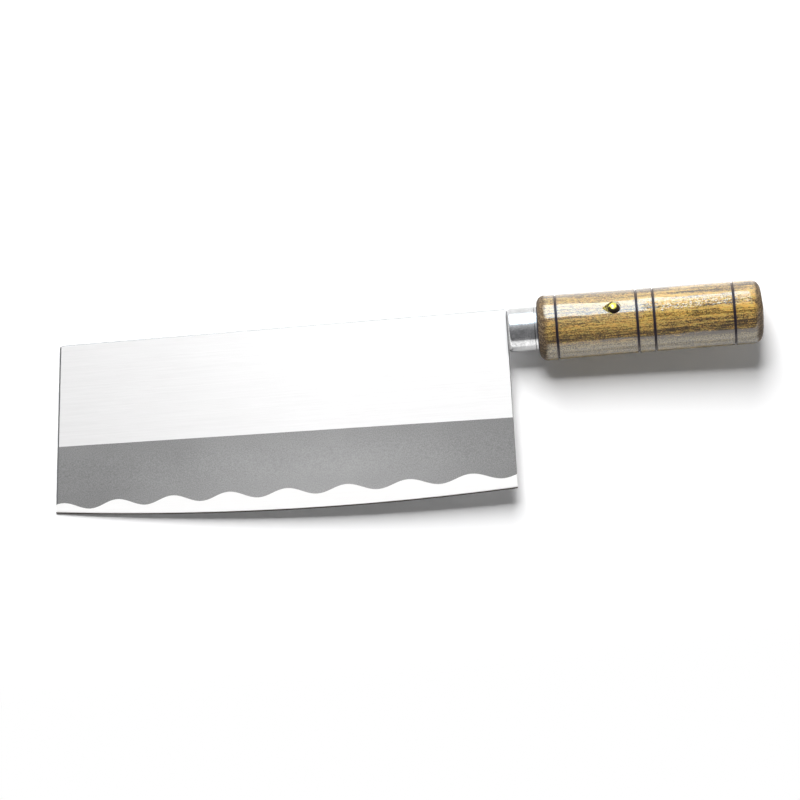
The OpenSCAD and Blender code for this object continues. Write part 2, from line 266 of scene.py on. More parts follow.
def make_handle():
    corner_x = BUTT - BUTT_R - CROWN
    worked = [(groove, *GROOVE_ZONE) for groove in GROOVES] + [RIVET_ZONE]
    stations = crowded(WOOD_FRONT + SHOULDER_R, corner_x, STATION_STEP, worked)
    corner = bend((corner_x, REAR_R - BUTT_R), BUTT_R, 88, 8)
    rim_x, rim_r = corner[-1]
    face_r = rim_r * (1 - np.arange(1, FACE_RINGS) / FACE_RINGS)
    face_x = BUTT - (BUTT - rim_x) * (face_r / rim_r) ** 2
    profile = np.concatenate([
        [(NECK_FRONT, NECK_R - NECK_CHAMFER), (NECK_FRONT + NECK_CHAMFER, NECK_R), (WOOD_FRONT, NECK_R)],
        bend((WOOD_FRONT + SHOULDER_R, FRONT_R - SHOULDER_R), SHOULDER_R, 180, 92),
        np.stack([stations, body_radius(stations) - groove_cut(stations)], axis=1),
        corner,
        np.stack([face_x, face_r], axis=1),
    ])
    first = HEAD_ANGLE - 1
    angle = crowded(first, first + 2 * math.pi, TURN_STEP, [HEAD_ZONE, TAIL_ZONE])[:-1]
    rings = wood_rings(profile[:, 0], profile[:, 1], angle)
    return closed_surface("turned_handle", lay_down(rings), *lay_down([(NECK_FRONT, 0, 0), (BUTT, 0, 0)]))


handle = make_handle()
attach(handle, "root")
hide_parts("handle")

# %% [markdown]
# The ferrule is a cup drawn from thin sheet, open at the back, that keeps the wood from splitting. Its
# front rim is rounded by the drawing. Near the wood a fine line sets off a narrow band. Its profile runs
# along the outside from the middle of the front face, round the rear edge and back along the inside.

# %% The ferrule
FERRULE_R = 20.7 / 2 * MM
FERRULE_WALL = 0.8 * MM
RIM_R = 1.6 * MM
REAR_EDGE_R = 0.15 * MM
BAND_WIDTH = 1.2 * MM
BAND_LINE = 0.25 * MM
AXIS_RING = 0.5 * MM


def make_ferrule():
    inner_r = FERRULE_R - FERRULE_WALL
    line_x = FERRULE_LENGTH - BAND_WIDTH
    tube = np.linspace(RIM_R, line_x - BAND_LINE, 20)[1:]
    profile = np.concatenate([
        [(0, r) for r in np.linspace(AXIS_RING, FERRULE_R - RIM_R, 8)[:-1]],
        bend((RIM_R, FERRULE_R - RIM_R), RIM_R, 180, 90),
        np.stack([tube, np.full(len(tube), FERRULE_R)], axis=1),
        [(line_x - BAND_LINE / 2, FERRULE_R - BAND_LINE), (line_x, FERRULE_R)],
        bend((FERRULE_LENGTH - REAR_EDGE_R, FERRULE_R - REAR_EDGE_R), REAR_EDGE_R, 90, 0, 4),
        [(FERRULE_LENGTH, inner_r), (FERRULE_WALL, inner_r), (FERRULE_WALL, AXIS_RING)],
    ])
    angle = np.linspace(0, 2 * math.pi, 192, endpoint=False)
    x, radius = profile[:, :1], profile[:, 1:]
    rings = np.stack(np.broadcast_arrays(x, radius * np.cos(angle), radius * np.sin(angle)), axis=-1)
    return closed_surface("drawn_ferrule", lay_down(rings), *lay_down([(0, 0, 0), (FERRULE_WALL, 0, 0)]))


ferrule = make_ferrule()
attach(ferrule, "root")
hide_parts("ferrule")

# %% [markdown]
# The rivet goes through wood and tang and shows a low brass dome in its seat. The far end is hammered
# into a flatter one. Its surface is revolved round the rivet's own axis, which is why the profile is
# written as height and radius and then laid along the rivet's direction.

# %% The rivet
SHANK_R = 3.4 / 2 * MM
DOME_HEIGHT = 1.1 * MM
RIM_HEIGHT = 0.5 * MM
TAIL_HEIGHT = 0.7 * MM
HEAD_EDGE = 0.1 * MM


def dome(foot, radius, height, steps=24):
    """Points of a low dome on the axis, from its rim to near its top: an arc through rim and top."""
    arc_r = (radius**2 + height**2) / (2 * height)
    half_angle = math.degrees(math.asin(radius / arc_r))
    return bend((foot + height - arc_r, 0), arc_r, half_angle, half_angle / steps, steps - 1)


def make_rivet():
    seat = body_radius(RIVET_X) - SEAT_DEPTH
    profile = np.concatenate([
        dome(seat + RIM_HEIGHT, TAIL_R, TAIL_HEIGHT)[::-1] * (-1, 1),
        [(-seat, TAIL_R), (-seat, SHANK_R), (seat, SHANK_R)],
        [(seat, HEAD_R - HEAD_EDGE), (seat + HEAD_EDGE, HEAD_R)],
        dome(seat + RIM_HEIGHT, HEAD_R, DOME_HEIGHT),
    ])
    angle = np.linspace(0, 2 * math.pi, 96, endpoint=False)
    height, radius = profile[:, :1], profile[:, 1:]
    up = np.array([0, math.sin(RIVET_TURN), math.cos(RIVET_TURN)])
    across = np.array([0, math.cos(RIVET_TURN), -math.sin(RIVET_TURN)])
    centre = np.array([RIVET_X, 0, 0])
    turns = np.stack([radius * np.cos(angle), radius * np.sin(angle)], axis=-1)
    rings = centre + height[..., None] * up + turns @ np.array([(1, 0, 0), across])
    ends = centre + np.outer([-seat - RIM_HEIGHT - TAIL_HEIGHT, seat + RIM_HEIGHT + DOME_HEIGHT], up)
    return closed_surface("brass_rivet", lay_down(rings), *lay_down(ends))


rivet = make_rivet()
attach(rivet, "root")
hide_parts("rivet")

# %% [markdown]
# Every finish here is procedural: a colour, a roughness and a small change of the normal, worked out
# from where a point lies on the knife and where its face looks. Such sums take many nodes, and wiring
# them one by one hides the thought behind them. So one small class wraps a socket. Arithmetic on it
# adds Math nodes, and one method adds any other node, with its settings first and then the values or
# links of its sockets.

# %% Sums of sockets
class Field:
    """A value that varies over a surface: one output socket in a node tree."""

    def __init__(self, tree, socket=None):
        self.tree = tree
        self.socket = socket

    def node(self, kind, settings=None, sockets=None, output=0):
        """Adds a node of a type, sets its settings, then its sockets, and gives one of its outputs."""
        made = self.tree.nodes.new(kind)
        for name, value in (settings or {}).items():
            setattr(made, name, value)
        for name, value in (sockets or {}).items():
            if isinstance(value, Field):
                self.tree.links.new(value.socket, made.inputs[name])
            else:
                made.inputs[name].default_value = value
        return Field(self.tree, made.outputs[output] if made.outputs else None)

    def math(self, operation, *values):
        """A Math node on one value or two."""
        return self.node("ShaderNodeMath", {"operation": operation}, dict(enumerate(values)))

    def __add__(self, other):
        return self.math("ADD", self, other)

    def __sub__(self, other):
        return self.math("SUBTRACT", self, other)

    def __rsub__(self, other):
        return self.math("SUBTRACT", other, self)

    def __mul__(self, other):
        return self.math("MULTIPLY", self, other)

    __radd__ = __add__
    __rmul__ = __mul__

    def size(self):
        """The value without its sign."""
        return self.math("ABSOLUTE", self)

    def most(self, other):
        """The larger of two values."""
        return self.math("MAXIMUM", self, other)

    def step(self, low, high):
        """0 at low, 1 at high and a smooth S between them. low may be the larger one."""
        sockets = {"Value": self, "From Min": low, "From Max": high}
        return self.node("ShaderNodeMapRange", {"interpolation_type": "SMOOTHSTEP"}, sockets)

    def mix(self, zero, one):
        """A colour between two others, by this value: zero where it is 0 and one where it is 1."""
        settings = {"data_type": "RGBA", "clamp_factor": True}
        return self.node("ShaderNodeMix", settings, {0: self, 6: zero, 7: one}, output=2)

    def split(self):
        """The three parts of a vector."""
        parts = self.node("ShaderNodeSeparateXYZ", None, {0: self}).socket.node.outputs
        return [Field(self.tree, part) for part in parts]

    def bump(self, height, depth, strength=1.0):
        """The normal of a surface with this relief, whose whole depth is given in millimetres."""
        sockets = {"Strength": strength, "Distance": depth * MM, "Height": height}
        return self.node("ShaderNodeBump", None, sockets)

    def noise(self, size, detail=2.0, roughness=0.5):
        """Smooth noise at this place, from 0 to 1. size is its grain along x, y and z, in millimetres."""
        place = self.node("ShaderNodeVectorMath", {"operation": "DIVIDE"}, {0: self, 1: size})
        sockets = {"Vector": place, "Scale": 1.0, "Detail": detail, "Roughness": roughness}
        return self.node("ShaderNodeTexNoise", None, sockets)


def grey(value):
    """The colour of an even grey."""
    return (value, value, value, 1)


# %% [markdown]
# A pattern on the knife has to lie along the knife, and not along the table. Object coordinates give a
# point's place in the frame, and a Mapping node of the Texture kind undoes the knife's tilt and its
# place, and turns metres into millimetres. The patterns and masks of all finishes read that one vector,
# so their lengths are in millimetres on the knife's own axes.

# %% Materials on the knife's own axes
def new_material(name):
    """A material without nodes yet, and the place on the knife in millimetres as a field."""
    material = bpy.data.materials.new(name)
    material.use_nodes = True
    material.node_tree.nodes.clear()
    place = Field(material.node_tree).node("ShaderNodeTexCoord", output="Object")
    sockets = {"Vector": place, "Location": heel, "Rotation": (0, -tilt, 0), "Scale": (MM, MM, MM)}
    return material, place.node("ShaderNodeMapping", {"vector_type": "TEXTURE"}, sockets)


def surface(material, at, sockets):
    """Ends a material with one Principled shader. Fields are linked to it and plain numbers set on it."""
    shader = at.node("ShaderNodeBsdfPrincipled", None, sockets)
    at.node("ShaderNodeOutputMaterial", None, {"Surface": shader})
    return material


def dress(piece, material):
    """Gives a piece this one material."""
    piece.data.materials.clear()
    piece.data.materials.append(material)
    print(f"{piece.name}: {material.name}, {len(material.node_tree.nodes)} nodes")


# %% [markdown]
# The blade is ground and finished in steps, and each leaves its own skin. The flat above the grind line
# is brushed along the blade: its scratches throw light far to the sides but hardly along the blade, so
# the lamps beyond the spine turn the flat nearly white. Scratches finer than a pixel can't be drawn one
# by one, so noise that is very fine across the blade tips the normal that way at each sample. Steel that
# scatters light so widely looks as even as white paint, so both bright steels also get a low Metallic.
# Larger streaks of the same brushing show as faint lines. The grind line itself needs no drawing: the
# bevel faces a degree or so away from the flat, and the true normal tells them apart.

# %% Where a steel face looks, and its brushing
GROUND = 0.008, 0.014
HONED = 0.1, 0.16
NARROW_SIDE = 0.93, 0.8
SCRATCH = (9, 0.045, 9)
# Painted shade: the dark grey of narrow sides and of the corners along tip and heel.
EDGE_SHADE_STEEL = grey(0.16)


def face_direction(at):
    """How far a face leans from the flat towards edge or spine, and how far it looks up or down."""
    normal = at.node("ShaderNodeNewGeometry", output="True Normal").split()
    return normal[1].size(), normal[2].size()


def brushed_normal(at, strength):
    """The face's own normal, tipped across the brushing by noise much finer than a pixel."""
    normal = at.node("ShaderNodeNewGeometry", output="Normal")
    scratch = (at.noise(SCRATCH, 1.0) - 0.5) * strength
    tip = at.node("ShaderNodeCombineXYZ", None, {"Y": scratch})
    tipped = normal.node("ShaderNodeVectorMath", {"operation": "ADD"}, {0: normal, 1: tip})
    return tipped.node("ShaderNodeVectorMath", {"operation": "NORMALIZE"}, {0: tipped})


def brush_streaks(at):
    """Faint lengthwise lines of brushing, from 0 to 1: long ones of two widths over soft patches."""
    lines = at.noise((60, 0.7, 9), 3.0, 0.6) * 0.5 + at.noise((22, 0.25, 9), 2.0) * 0.3
    return lines + at.noise((40, 20, 9)) * 0.2


# %% [markdown]
# The soft outer steel covers the flat and most of the ground bevel. The bevel is blasted after grinding,
# which leaves an even, dull grey of fine dimples, lighter in the middle of the blade, where the blast
# dwelt. The flat is painted darker towards the tip, as shade. Narrow sides and the corners along tip and
# heel are painted dark grey, as the shade on the blade's edges.

# %% Finish of the soft outer steel
TIP_TOP = (-214.9, 9.5)
TIP_FOOT = (-223.0, -70.6)
SHADED_CORNER = 0.9
HEEL_SHADE_SPAN = -0.8, -0.4
BLAST_CENTRE = -95
BLAST_REACH = 10, 115
BRUSHED = (0.66, 0.65, 0.645, 1), (0.86, 0.85, 0.845, 1)
BLASTED = (0.164, 0.159, 0.154, 1), (0.45, 0.437, 0.425, 1)


def tip_shade(x, y):
    """1 on the corner along the tip, painted dark as edge shade: the distance from the line through its
    ends.
    """
    run, rise = TIP_TOP[0] - TIP_FOOT[0], TIP_TOP[1] - TIP_FOOT[1]
    length = math.hypot(run, rise)
    inside = (x - TIP_FOOT[0]) * (rise / length) - (y - TIP_FOOT[1]) * (run / length)
    return inside.step(SHADED_CORNER, SHADED_CORNER / 2)


def heel_shade(x, y):
    """1 on the corner along the heel, painted dark as edge shade, except near the spine."""
    return x.step(*HEEL_SHADE_SPAN) * y.step(9.5, 6.5)


def blasted_steel(at, x, y):
    """Colour of the blasted bevel: fine dimples and soft patches, lighter where the blast dwelt."""
    grain = at.noise((0.5, 0.5, 0.5), 3.0, 0.75).step(0.3, 0.7)
    patches = at.noise((34, 18, 9), 2.0, 0.6)
    dwelt = (1 - (x - BLAST_CENTRE).size().step(*BLAST_REACH)) * (0.6 + y.step(-38, -60) * 0.45)
    return (grain * 0.42 + patches * 0.22 + dwelt * 0.42).mix(*BLASTED)


def clad_steel():
    material, at = new_material("brushed and blasted steel")
    x, y = at.split()[:2]
    lean, up = face_direction(at)
    bevel = lean.step(*GROUND)
    # Painted shade: narrow sides and the corners along tip and heel are dark.
    dark = up.step(*NARROW_SIDE).most(tip_shade(x, y)).most(heel_shade(x, y) * 0.75)
    streaks = brush_streaks(at)
    # Painted shade: the flat darkens towards the tip.
    fading_to_tip_shade = x.step(-80, TIP_FOOT[0])
    flat = (streaks * 0.9 + 0.35 - fading_to_tip_shade * 0.6).mix(*BRUSHED)
    smooth = (1 - bevel) * (1 - dark)
    sockets = {
        "Base Color": dark.mix(bevel.mix(flat, blasted_steel(at, x, y)), EDGE_SHADE_STEEL),
        "Roughness": 0.48 + bevel * 0.1 - dark * 0.12 + (streaks - 0.5) * 0.05,
        "Metallic": 1 - smooth * 0.85 - bevel * 0.5,
        "Normal": brushed_normal(at, smooth * 0.4 + 0.02),
    }
    return surface(material, at, sockets)


clad = clad_steel()
for node in ("cladding_front", "cladding_back"):
    dress(frame["nodes"][node], clad)

# %% [markdown]
# The hard middle layer shows below the waved line. It was polished after the blasting, with finer lines
# than the flat. It ends in the honed edge, whose small bevels come from a finer stone and are as bright.
# Where they meet, the steel is thinnest, and one thin dark line is painted there as the edge's shade.

# %% Finish of the hard middle layer
EDGE_LINE_REACH = 0.28
EDGE_LINE_SHADE = (0.05, 0.035, 0.025, 1)
POLISHED = (0.84, 0.83, 0.82, 1), (0.92, 0.91, 0.9, 1)


def core_steel():
    material, at = new_material("polished hard steel")
    height = at.split()[2].size()
    lean, up = face_direction(at)
    # Narrow sides are painted dark, as edge shade.
    side = up.step(*NARROW_SIDE)
    # Painted shade: one thin dark line along the very edge.
    painted_dark = lean.step(*HONED) * height.step(EDGE_LINE_REACH, EDGE_LINE_REACH / 2)
    dark = side.most(painted_dark)
    streaks = brush_streaks(at)
    sockets = {
        "Base Color": side.mix(painted_dark.mix(streaks.mix(*POLISHED), EDGE_LINE_SHADE), EDGE_SHADE_STEEL),
        "Roughness": 0.46 - dark * 0.15 + (streaks - 0.5) * 0.04,
        "Metallic": 0.12 + dark * 0.6,
        "Normal": brushed_normal(at, (1 - dark) * 0.35 + 0.02),
    }
    return surface(material, at, sockets)


dress(frame["nodes"]["blade_core"], core_steel())

# %% [markdown]
# The ferrule is polished on a wheel while it turns, so it mirrors the studio in clean bands along its
# length: the floor, the lit screen, the dark ceiling and the floor again. Fine lines run round it. A few
# tiny pits are darker. The fine line near the wood on its lower half, the front rim below its top and
# the tang's slot in the front face are painted dark, as shade.

# %% Finish of the ferrule
SLOT_HALF_THICK = 1.15
SLOT_HALF_WIDE = 6.7
LINE_X = (FERRULE_LENGTH - BAND_WIDTH) / MM - 0.12
TURNED_STEEL = grey(0.3), grey(0.56)
DARK_PITS_AND_SHADE = grey(0.05)


def ferrule_steel():
    material, at = new_material("turned and polished steel")
    x, y, z = at.split()
    rings = at.noise((0.14, 7, 7), 2.0, 0.6)
    grain = at.noise((0.32, 0.32, 0.32), 3.0, 0.7)
    pits = at.noise((0.6, 0.45, 0.45), 2.0, 0.6).step(0.66, 0.72)
    clouds = at.noise((5, 5, 5), 3.0, 0.6)
    # Painted shade: the fine line on its lower half, the tang's slot and the front rim below its top.
    line = (x - LINE_X).size().step(0.2, 0.06) * y.step(0, -3)
    slot = z.size().step(SLOT_HALF_THICK + 0.15, SLOT_HALF_THICK)
    slot = slot * y.size().step(SLOT_HALF_WIDE + 0.2, SLOT_HALF_WIDE) * x.step(0.3, 0.1)
    rim = x.step(1.1, 0.2) * y.step(9, 6)
    colour = (grain * 0.7 + clouds * 0.3).step(0.35, 0.65).mix(*TURNED_STEEL)
    sockets = {
        "Base Color": line.most(slot).most(pits * 0.6).most(rim * 0.55).mix(colour, DARK_PITS_AND_SHADE),
        "Roughness": 0.11 + rings * 0.06 + clouds * 0.06 + grain * 0.06,
        "Metallic": 1.0,
        "Normal": at.bump(rings * 0.5 + clouds * 0.5 + grain * 0.8, 0.02, 0.35),
    }
    return surface(material, at, sockets)


dress(ferrule, ferrule_steel())

# %% [markdown]
# Before the wood gets its grain, a few masks say where it is no plain wood: in the four grooves, and
# round the rivet's head, with the seat, which is painted dark as shade, the brassy smear on its lip and
# the chip. The masks read the same sizes as the surface does, so colour and shape lie on each other.

# %% Masks for the grooves and round the rivet
def groove_mask(x, inner, outer):
    """1 in the burned grooves and 0 away from them, along the handle."""
    nearest = None
    for groove in GROOVES:
        near = (x - groove / MM).size().step(outer, inner)
        nearest = near if nearest is None else nearest.most(near)
    return nearest


def from_rivet(at):
    """A place as seen from the rivet's axis, in millimetres: how far ahead of it, aside of it and out."""
    x, y, z = at.split()
    aside = y * math.cos(RIVET_TURN) - z * math.sin(RIVET_TURN)
    out = y * math.sin(RIVET_TURN) + z * math.cos(RIVET_TURN)
    return RIVET_X / MM - x, aside, out


def reach_from(at, ahead, aside):
    """The distance between the rivet's axis, moved by so much ahead and aside, and this place."""
    place_ahead, place_aside = from_rivet(at)[:2]
    ahead, aside = place_ahead - ahead, place_aside - aside
    return at.math("SQRT", ahead * ahead + aside * aside)


def round_rivet(at):
    """Three values round the rivet's head: 1 in its seat, painted as shade, on the seat's brassy lip and in
    the chip.
    """
    ahead, aside, out = from_rivet(at)
    facing = out.step(4, 6)
    shift, seat_r = SEAT_SHIFT / MM, (HEAD_R + SEAT_GAP) / MM
    reach = reach_from(at, -shift, -shift)
    # Painted shade: the seat is dark, moved towards the butt and the edge, where the head's shadow falls.
    seat = reach.step(seat_r - 0.1, seat_r - 0.35) * facing
    smear = at.noise((0.8, 0.8, 0.8), 2.0, 0.6)
    lip = (reach + smear - 0.5).step(seat_r + 0.75, seat_r + 0.4) * (ahead + aside).step(0, 1.5) * facing
    width = (CHIP_TIP / MM - ahead) * (CHIP_HALF / (CHIP_TIP - HEAD_R))
    wedge = (width - aside.size()).step(-0.1, 0.35) * ahead.step(0, 1) * facing
    return seat, lip, wedge


# %% [markdown]
# Lacquer is a clear coat over the wood, and it wears where the palm rubs it: from the pair of grooves
# backwards it has come off in flakes and flecks on the upper side, with a few cracks at their border. In
# front of the pair and round the lower side the palm has left it whole.

# %% Worn lacquer
FLAKES_START = 59, 62
BORDER_RISE = 3.6


def worn_lacquer(at):
    """1 where the palm has worn the lacquer away: ragged flakes, which spread upwards behind the grooves."""
    x, y = at.split()[:2]
    flakes = at.noise((1.9, 0.9, 0.9), 3.0, 0.6)
    gone = (flakes * 7 + x.step(61, 66) * BORDER_RISE - y).step(3.2, 3.7)
    cracks = (at.noise((1.7, 1.1, 1.1), 1.0) - 0.5).size().step(0.07, 0.03) * y.step(9, 7)
    flecks = at.noise((1.2, 0.6, 0.6), 2.0, 0.6).step(0.47, 0.55) * x.step(63, 67) * y.step(9.6, 7.2)
    worn = gone.most(cracks * x.step(64, 70)).most(flecks)
    return worn * x.step(*FLAKES_START) * y.step(-2, 1)


# %% [markdown]
# The wood is straight-grained, yellow-brown and stained unevenly. Grain is noise stretched along the
# handle: broad bands, thinner dark streaks, short fibres and single cells. Because the pattern fills
# space, it meets itself all round. Where the shoulder and the butt cut across the fibres, end grain
# shows instead: year rings round a pith that lies outside the handle, and a speckle of cut cells.

# %% Grain along and across the wood
PITH = (-31, -22)
RING_WIDTH = 1.9
DARK_GRAIN = (0.036, 0.019, 0.005, 1)
RED_GRAIN = (0.53, 0.305, 0.07, 1)
YELLOW_GRAIN = (0.46, 0.325, 0.082, 1)
YEAR_RINGS = (0.11, 0.07, 0.035, 1), (0.25, 0.17, 0.09, 1)
CUT_CELLS = (0.012, 0.009, 0.012, 1)


def grain_tone(at, lines, cells, blotches):
    """0 in the darkest grain and 1 in the palest. The sides get painted shade, and the rear is mottled."""
    x, y = at.split()[:2]
    bands = at.noise((50, 2.6, 2.6), 3.0, 0.6)
    fibres = at.noise((2.6, 0.42, 0.42), 2.0, 0.6)
    tone = bands * 0.22 + lines * 0.28 + fibres * 0.2 + cells * 0.3
    # The rear is mottled, a little lighter, and painted darker on its lower side as shade.
    rear = (bands + blotches - 1) * 0.18 + 0.02 - y.step(-2, -6) * 0.06
    # Painted shade: the top and the lower side are darker.
    painted_dark = y.step(6, -10) + y.step(10, 14) * 1.2
    return (tone + rear * x.step(50, 80) - painted_dark * 0.05).step(0.39, 0.57)


def long_grain(at, tone):
    """Colour of the wood along its fibres: dark grain to a pale one that wavers from red to yellow."""
    hue = at.noise((3, 0.6, 0.6), 1.0).step(0.4, 0.6)
    return tone.mix(DARK_GRAIN, hue.mix(RED_GRAIN, YELLOW_GRAIN))


def end_grain(at, blotches):
    """Colour of the wood cut across: rings by the sine of the distance from the pith, and dark cells."""
    y, z = at.split()[1:]
    from_y, from_z = y - PITH[0], z - PITH[1]
    from_pith = at.math("SQRT", from_y * from_y + from_z * from_z) + blotches * 1.6
    rings = at.math("SINE", from_pith * (2 * math.pi / RING_WIDTH)) * 0.5 + 0.5
    speckle = at.noise((0.5, 0.42, 0.42), 2.0, 0.7).step(0.4, 0.62)
    return speckle.mix(CUT_CELLS, rings.mix(*YEAR_RINGS))


# %% [markdown]
# The finish of the wood lays these over each other: grain and open pores, a speckled strip on the side
# towards the edge, painted as the table's reflection in the lacquer, a darker lowest edge painted as
# shade, the end grain, the scorch beside the grooves, the torn chip, and last the burned grooves, the neck
# painted black as shade and the seat painted dark as shade. The grooves are painted lighter where the
# wood curves away, as sheen.
# Over all of it lies the lacquer, a clear coat with its own refractive index. It is missing where it is
# worn, thin on end grain and in the grooves, and thinner in fine specks. Blender's coat keeps the smooth
# normal when only the wood has a relief, which is just what a thick lacquer does.

# %% Finish of the wood
OPEN_PORE = (0.035, 0.018, 0.006, 1)
MIRRORED_TABLE_STRIP = (0.06, 0.04, 0.012, 1), (0.34, 0.27, 0.12, 1)
SHADED_LOWEST_EDGE = (0.1, 0.085, 0.012, 1)
SCORCHED = (0.06, 0.03, 0.012, 1)
TORN_WOOD = (0.04, 0.03, 0.008, 1), (0.45, 0.38, 0.07, 1)
BURN_AND_SHADE = (0.018, 0.014, 0.022, 1)
NECK_SHADE = 14.75, 14.5


def lacquered_wood():
    material, at = new_material("lacquered wood")
    x, y = at.split()[:2]
    lines = at.noise((30, 0.55, 0.55), 3.0, 0.6)
    cells = at.noise((0.6, 0.42, 0.42), 1.0)
    pores = at.noise((2.2, 0.4, 0.4), 2.0, 0.6).step(0.58, 0.64)
    blotches = at.noise((7, 3.4, 3.4), 3.0, 0.6)
    tone = grain_tone(at, lines, cells, blotches)
    # Painted reflection: a speckled olive-grey strip on the side towards the edge, as the table mirrored.
    reflection_strip = y.step(-8.8, -10) * y.step(-14.8, -13.4) * 0.75
    # Painted shade: a darker olive along the lowest edge, where the lacquer mirrors the shadow below.
    shaded_lowest_edge = y.step(-14, -14.8)
    ends = (x + blotches * 3).step(20.6, 18.6).most((x - blotches * 3).step(114.8, 117.2))
    seat, lip, wedge = round_rivet(at)
    # Painted sheen: the grooves are lighter where the wood curves away.
    groove_sheen = y.step(9, 14) * 0.45 + y.step(-9, -13) * 0.3
    # Painted shade: the neck inside the ferrule is black. The grooves are burned.
    burns_and_neck_shade = (groove_mask(x, 0.45, 0.72) * (1 - groove_sheen)).most(x.step(*NECK_SHADE))
    torn = at.noise((0.9, 0.6, 0.6), 3.0, 0.7).step(0.42, 0.6)

    colour = (pores * 0.8).mix(long_grain(at, tone), OPEN_PORE)
    colour = reflection_strip.mix(colour, cells.step(0.35, 0.65).mix(*MIRRORED_TABLE_STRIP))
    colour = (shaded_lowest_edge * 0.4).mix(colour, SHADED_LOWEST_EDGE)
    colour = (ends * 0.9).mix(colour, end_grain(at, blotches))
    colour = (groove_mask(x, 0.4, 1.5) * 0.6).mix(colour, SCORCHED)
    colour = lip.most(wedge).mix(colour, torn.mix(*TORN_WOOD))
    # Painted shade: the neck and the seat are dark; the grooves are burned.
    colour = burns_and_neck_shade.most(seat).mix(colour, BURN_AND_SHADE)

    bare = worn_lacquer(at).most(shaded_lowest_edge * 0.5).most(ends * 0.8)
    bare = bare.most(burns_and_neck_shade.most(seat).most(wedge) * 0.9)
    specks = at.noise((0.6, 0.45, 0.45), 2.0, 0.7).step(0.45, 0.7) * 0.3
    sockets = {
        "Base Color": colour,
        "Roughness": 0.32 + (1 - tone) * 0.08 + pores * 0.1 + ends * 0.5,
        "Normal": at.bump(lines * 0.25 - pores * 0.35 + cells * 0.15, 0.1, 1.0),
        "IOR": 1.5,
        "Specular IOR Level": 0.2,
        "Coat Weight": 1 - bare - specks,
        "Coat Roughness": 0.06,
        "Coat IOR": 1.7,
    }
    return surface(material, at, sockets)


dress(handle, lacquered_wood())

# %% [markdown]
# The rivet is solid brass, polished by use on its dome. Round its rim and on the side towards the edge it
# is painted dark, as shade. The bedding fills the slot in the wood and never shows, but it gets its own
# dark, grainy resin all the same, because the visual model is also looked at in pieces.

# %% Finish of the brass and of the bedding
RIM_LEVEL = 15.6, 15.3
GOLDEN_BRASS = (0.8, 0.7, 0.14, 1)
TARNISHED_BRASS = (0.45, 0.4, 0.05, 1)
SHADED_BRASS = (0.03, 0.022, 0.016, 1)
RESIN = (0.05, 0.03, 0.015, 1), (0.16, 0.11, 0.06, 1)


def polished_brass():
    material, at = new_material("polished brass")
    ahead, aside, out = from_rivet(at)
    scratches = at.noise((0.7, 0.06, 0.06), 2.0)
    tarnish = at.noise((0.9, 0.9, 0.9), 3.0, 0.6)
    # Painted shade: dark round the rim and on the side towards the edge.
    shade_on_brass = reach_from(at, 0.05, 0.25).step(1.15, 1.7) * (aside + ahead * 0.3).step(1.3, 0.8)
    shade_on_brass = shade_on_brass.most(out.size().step(*RIM_LEVEL))
    colour = tarnish.step(0.35, 0.75).mix(GOLDEN_BRASS, TARNISHED_BRASS)
    sockets = {
        "Base Color": shade_on_brass.mix(colour, SHADED_BRASS),
        "Roughness": 0.08 + tarnish * 0.08 + shade_on_brass * 0.3,
        "Metallic": 1.0,
        "Normal": at.bump(scratches, 0.02, 0.3),
    }
    return surface(material, at, sockets)


def bedding_resin():
    material, at = new_material("bedding resin")
    sand = at.noise((0.5, 0.5, 0.5), 3.0, 0.6)
    sockets = {
        "Base Color": sand.mix(*RESIN),
        "Roughness": 0.55 + sand * 0.3,
        "Normal": at.bump(sand, 0.1, 0.5),
    }
    return surface(material, at, sockets)


dress(rivet, polished_brass())
dress(frame["nodes"]["tang_bedding"], bedding_resin())

# %% [markdown]
# The table is white paper that takes the shadow. Far from the knife, and beyond the shadow in front of
# it, it is simply white for the camera and for reflections, by Light Path, because lamps near the knife
# can't light a large floor evenly. Mirrored, it is about twice as bright, and half of that begins just
# behind the knife: the photograph's wood and ferrule mirror a floor as bright as that. The limits are in
# metres from the frame's origin.

# %% The table
FLOOR_HALF = 6.0
PAPER_REACH = 0.22, 0.3
SHADOW_END = -0.08, -0.13
BEHIND_KNIFE = 0.045, 0.06
MIRROR_GAIN = 1.15
PAPER = (0.95, 0.95, 0.955, 1)
WHITE = (1, 1, 1, 1)


def ray_is(at, kind):
    """1 for rays of a kind, such as Camera, Glossy or Transmission, and 0 for all others."""
    path = at.node("ShaderNodeLightPath").socket.node.outputs
    return Field(at.tree, path[f"Is {kind} Ray"])


def paper_material():
    """Paper near the knife and an even white beyond. Light that falls on matt surfaces sees only paper."""
    material = bpy.data.materials.new("white paper")
    material.use_nodes = True
    material.node_tree.nodes.clear()
    tree = Field(material.node_tree)
    place = tree.node("ShaderNodeTexCoord", output="Object")
    distance = place.node("ShaderNodeVectorMath", {"operation": "LENGTH"}, {0: place}, output="Value")
    y = place.split()[1]
    paper = tree.node("ShaderNodeBsdfDiffuse", None, {"Color": PAPER})
    mirrored = ray_is(tree, "Glossy")
    white = tree.node("ShaderNodeEmission", None, {"Color": WHITE, "Strength": mirrored * MIRROR_GAIN + 1})
    seen = ray_is(tree, "Camera").most(mirrored).most(ray_is(tree, "Transmission"))
    behind = y.step(*BEHIND_KNIFE) * mirrored * 0.5
    far = distance.step(*PAPER_REACH).most(y.step(*SHADOW_END)).most(behind) * seen
    shown = tree.node("ShaderNodeMixShader", None, {0: far, 1: paper, 2: white})
    tree.node("ShaderNodeOutputMaterial", None, {"Surface": shown})
    return material


